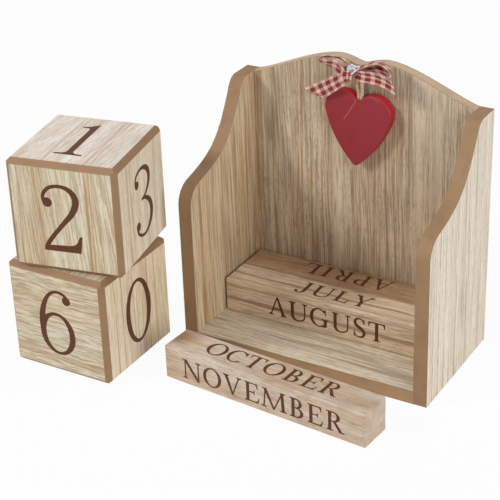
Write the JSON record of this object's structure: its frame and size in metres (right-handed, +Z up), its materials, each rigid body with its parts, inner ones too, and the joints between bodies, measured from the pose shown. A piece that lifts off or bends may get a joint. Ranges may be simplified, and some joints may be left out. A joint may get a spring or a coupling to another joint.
{
  "type": "perpetual desk calendar",
  "caption": "Open wooden desk stand with a hanging heart, lettered sticks for the month and numbered cubes for the day.",
  "frame": {"origin": "centre of the stand's underside, on the surface that everything stands on", "axes": "+X to the right as seen from the open front, +Y to the rear, +Z up"},
  "size_m": [0.2272, 0.1423, 0.1635],
  "materials": {
    "mdf": "bare fibreboard edge, satin",
    "inner_veneer": "straight-grained veneer, matt",
    "outer_veneer": "pale straight-grained veneer, matt",
    "dowel_wood": "turned hardwood",
    "cube_mdf": "bevelled fibreboard, satin",
    "cube_veneer": "straight-grained veneer, matt",
    "stick_wood": "planed solid wood, matt",
    "red_paint": "red paint, semi-matt with fine scratches",
    "twine": "twisted jute",
    "gingham": "red and cream gingham ribbon",
    "thread": "white cotton thread",
    "nail_steel": "bright wire nail"
  },
  "bodies": {
    "stand": {"base_core": "mdf", "base_top_veneer": "inner_veneer", "base_under_veneer": "outer_veneer", "back_core": "mdf", "back_front_veneer": "inner_veneer", "back_rear_veneer": "outer_veneer", "left_side_core": "mdf", "left_side_inner_veneer": "inner_veneer", "left_side_outer_veneer": "outer_veneer", "right_side_core": "mdf", "right_side_inner_veneer": "inner_veneer", "right_side_outer_veneer": "outer_veneer", "left_joint_dowels": "dowel_wood", "right_joint_dowels": "dowel_wood", "hanging_nail": "nail_steel", "ribbon_bow": "gingham", "bow_thread": "thread"},
    "lower_cube": {"lower_cube_core": "cube_mdf", "lower_cube_front_veneer": "cube_veneer", "lower_cube_back_veneer": "cube_veneer", "lower_cube_left_veneer": "cube_veneer", "lower_cube_right_veneer": "cube_veneer", "lower_cube_top_veneer": "cube_veneer", "lower_cube_bottom_veneer": "cube_veneer"},
    "upper_cube": {"upper_cube_core": "cube_mdf", "upper_cube_front_veneer": "cube_veneer", "upper_cube_back_veneer": "cube_veneer", "upper_cube_left_veneer": "cube_veneer", "upper_cube_right_veneer": "cube_veneer", "upper_cube_top_veneer": "cube_veneer", "upper_cube_bottom_veneer": "cube_veneer"},
    "rear_stick": {"rear_month_stick": "stick_wood"},
    "front_stick": {"front_month_stick": "stick_wood"},
    "loose_stick": {"loose_month_stick": "stick_wood"},
    "heart": {"heart": "red_paint", "twine_loop": "twine"}
  },
  "joints": [
    {"name": "cubes_lift", "type": "slide", "parent": "stand", "child": "lower_cube", "axis": [0, 0, 1], "range_m": [0, 0.06]},
    {"name": "upper_cube_turn", "type": "hinge", "parent": "lower_cube", "child": "upper_cube", "pos_m": [-0.1153, -0.0659, 0.096], "axis": [0, 0, 1], "continuous": true},
    {"name": "rear_stick_lift", "type": "slide", "parent": "stand", "child": "rear_stick", "axis": [0, 0, 1], "range_m": [0, 0.06]},
    {"name": "front_stick_lift", "type": "slide", "parent": "stand", "child": "front_stick", "axis": [0, 0, 1], "range_m": [0, 0.09]},
    {"name": "loose_stick_lift", "type": "slide", "parent": "stand", "child": "loose_stick", "axis": [0, 0, 1], "range_m": [0, 0.06]},
    {"name": "heart_swing", "type": "hinge", "parent": "stand", "child": "heart", "pos_m": [0.001, 0.0292, 0.152], "axis": [0, 1, 0], "range_deg": [-35, 35]}
  ]
}
